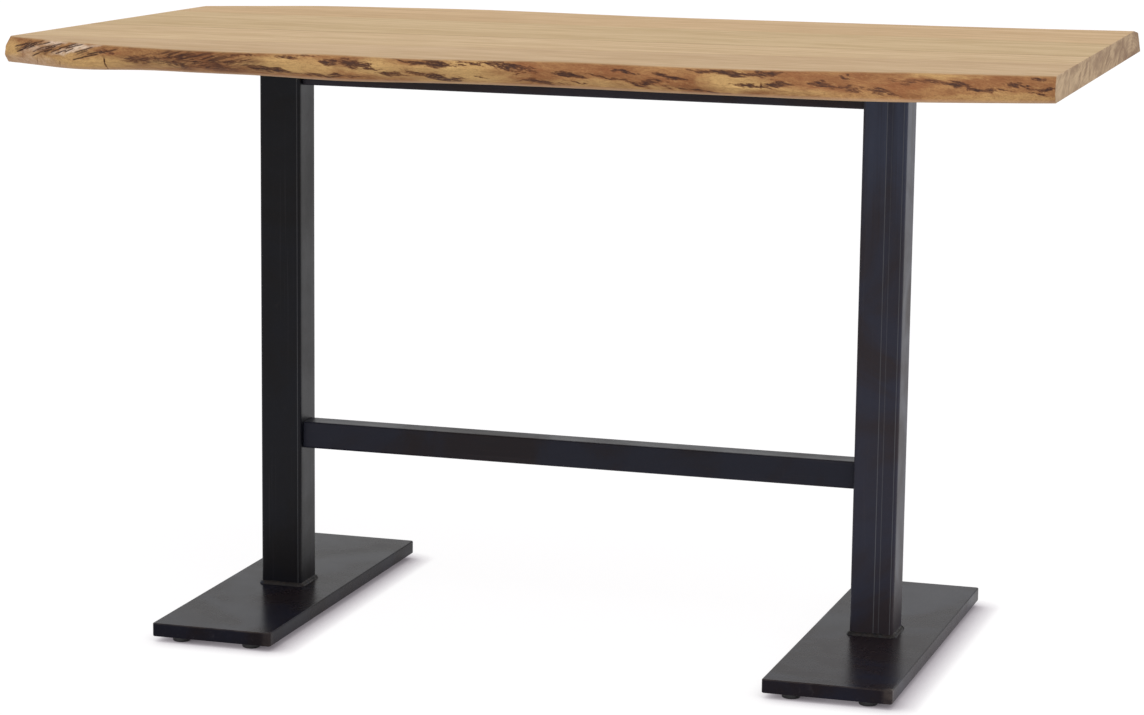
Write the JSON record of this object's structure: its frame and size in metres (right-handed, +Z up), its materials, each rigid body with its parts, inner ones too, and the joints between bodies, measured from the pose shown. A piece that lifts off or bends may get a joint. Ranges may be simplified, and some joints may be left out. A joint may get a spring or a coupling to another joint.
{
  "type": "bar table",
  "caption": "Live-edge wood bar table top, glued from wide boards, on square steel columns with thick foot plates, a footrest tube and an upper rail.",
  "frame": {"origin": "On the floor, at the bottom centre of the whole table's box.", "axes": "+X along the top towards its square-sawn end, +Y towards the back live edge, +Z up."},
  "size_m": [1.8527, 1.0669, 1.1],
  "materials": {
    "slab_wood": "oiled hardwood slab, pale face, darker live edges",
    "black_steel": "hot-rolled steel, blackened and clear lacquered",
    "weld_metal": "fillet weld beads, blackened with the base",
    "zinc_plated_steel": "zinc-plated screws and studs",
    "pad_plastic": "black moulded plastic"
  },
  "bodies": {
    "table": {"top_front_board": "slab_wood", "top_inner_board_1": "slab_wood", "top_inner_board_2": "slab_wood", "top_back_board": "slab_wood", "left_foot_plate": "black_steel", "left_column": "black_steel", "left_mounting_plate": "black_steel", "left_column_welds": "weld_metal", "left_top_screws": "zinc_plated_steel", "right_foot_plate": "black_steel", "right_column": "black_steel", "right_mounting_plate": "black_steel", "right_column_welds": "weld_metal", "right_top_screws": "zinc_plated_steel", "footrest_tube": "black_steel", "upper_rail": "black_steel"},
    "left_front_left_glide": {"left_front_left_glide_pad": "pad_plastic", "left_front_left_glide_stud": "zinc_plated_steel"},
    "left_front_right_glide": {"left_front_right_glide_pad": "pad_plastic", "left_front_right_glide_stud": "zinc_plated_steel"},
    "left_back_left_glide": {"left_back_left_glide_pad": "pad_plastic", "left_back_left_glide_stud": "zinc_plated_steel"},
    "left_back_right_glide": {"left_back_right_glide_pad": "pad_plastic", "left_back_right_glide_stud": "zinc_plated_steel"},
    "right_front_left_glide": {"right_front_left_glide_pad": "pad_plastic", "right_front_left_glide_stud": "zinc_plated_steel"},
    "right_front_right_glide": {"right_front_right_glide_pad": "pad_plastic", "right_front_right_glide_stud": "zinc_plated_steel"},
    "right_back_left_glide": {"right_back_left_glide_pad": "pad_plastic", "right_back_left_glide_stud": "zinc_plated_steel"},
    "right_back_right_glide": {"right_back_right_glide_pad": "pad_plastic", "right_back_right_glide_stud": "zinc_plated_steel"}
  },
  "joints": [
    {"name": "left_front_left_glide_height", "type": "slide", "parent": "table", "child": "left_front_left_glide", "axis": [0, 0, -1], "range_m": [0, 0.008]},
    {"name": "left_front_right_glide_height", "type": "slide", "parent": "table", "child": "left_front_right_glide", "axis": [0, 0, -1], "range_m": [0, 0.008]},
    {"name": "left_back_left_glide_height", "type": "slide", "parent": "table", "child": "left_back_left_glide", "axis": [0, 0, -1], "range_m": [0, 0.008]},
    {"name": "left_back_right_glide_height", "type": "slide", "parent": "table", "child": "left_back_right_glide", "axis": [0, 0, -1], "range_m": [0, 0.008]},
    {"name": "right_front_left_glide_height", "type": "slide", "parent": "table", "child": "right_front_left_glide", "axis": [0, 0, -1], "range_m": [0, 0.008]},
    {"name": "right_front_right_glide_height", "type": "slide", "parent": "table", "child": "right_front_right_glide", "axis": [0, 0, -1], "range_m": [0, 0.008]},
    {"name": "right_back_left_glide_height", "type": "slide", "parent": "table", "child": "right_back_left_glide", "axis": [0, 0, -1], "range_m": [0, 0.008]},
    {"name": "right_back_right_glide_height", "type": "slide", "parent": "table", "child": "right_back_right_glide", "axis": [0, 0, -1], "range_m": [0, 0.008]}
  ]
}
